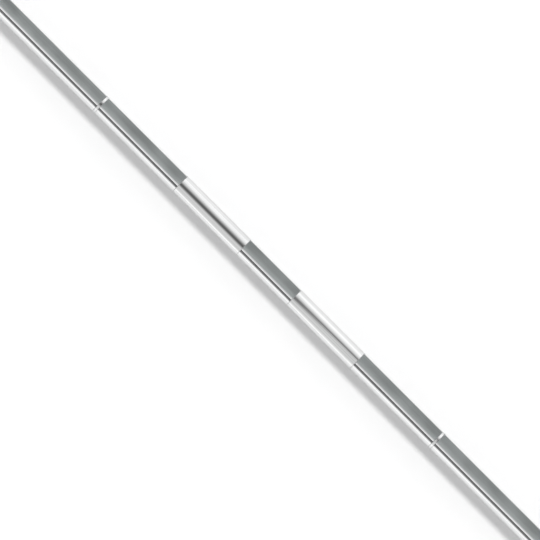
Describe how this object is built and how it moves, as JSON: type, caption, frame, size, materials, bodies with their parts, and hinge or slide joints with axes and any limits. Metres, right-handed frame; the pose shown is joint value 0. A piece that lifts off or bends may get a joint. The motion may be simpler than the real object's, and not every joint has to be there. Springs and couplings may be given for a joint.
{
  "type": "piano hinge",
  "caption": "Continuous hinge with two screwed leaves, a round barrel of slotted satin and plain polished knuckles, and one full-length pin.",
  "frame": {"origin": "centre of the box of the closed hinge; the pin's axis is 9.7 mm above it", "axes": "+X along the pin, +Y from the frame leaf to the door leaf, +Z out of the barrel's crown, away from the leaves' free edges"},
  "size_m": [0.4572, 0.012, 0.0314],
  "materials": {
    "satin_knuckle": "satin stainless steel crown with drawn, polished sides",
    "polished_knuckle": "bright turned and polished stainless steel",
    "polished_ring": "bright ground and polished steel",
    "leaf_steel": "stainless strip with fine lengthwise grain",
    "pin_steel": "drawn steel wire",
    "liner_acetal": "dark grey acetal bearing liner",
    "plug_acetal": "black acetal end plug"
  },
  "bodies": {
    "frame_leaf": {"frame_leaf_plate": "leaf_steel", "frame_end_knuckle_left": "satin_knuckle", "frame_end_knuckle_right": "satin_knuckle", "frame_round_knuckle_left": "polished_knuckle", "frame_round_knuckle_right": "polished_knuckle", "hinge_pin": "pin_steel", "frame_liner_left": "liner_acetal", "frame_liner_right": "liner_acetal", "end_plug_left": "plug_acetal", "end_plug_right": "plug_acetal"},
    "door_leaf": {"door_leaf_plate": "leaf_steel", "door_knuckle_left": "satin_knuckle", "door_knuckle_centre": "satin_knuckle", "door_knuckle_right": "satin_knuckle", "door_liner_left": "liner_acetal", "door_liner_centre": "liner_acetal", "door_liner_right": "liner_acetal"},
    "thrust_ring_left": {"thrust_ring_left": "polished_ring"},
    "thrust_ring_right": {"thrust_ring_right": "polished_ring"}
  },
  "joints": [
    {"name": "leaf_swing", "type": "hinge", "parent": "frame_leaf", "child": "door_leaf", "pos_m": [0, 0, 0.0097], "axis": [1, 0, 0], "range_deg": [0, 270]},
    {"name": "ring_left_turn", "type": "hinge", "parent": "frame_leaf", "child": "thrust_ring_left", "pos_m": [-0.1347, 0, 0.0097], "axis": [1, 0, 0], "continuous": true},
    {"name": "ring_right_turn", "type": "hinge", "parent": "frame_leaf", "child": "thrust_ring_right", "pos_m": [0.1347, 0, 0.0097], "axis": [1, 0, 0], "continuous": true}
  ]
}
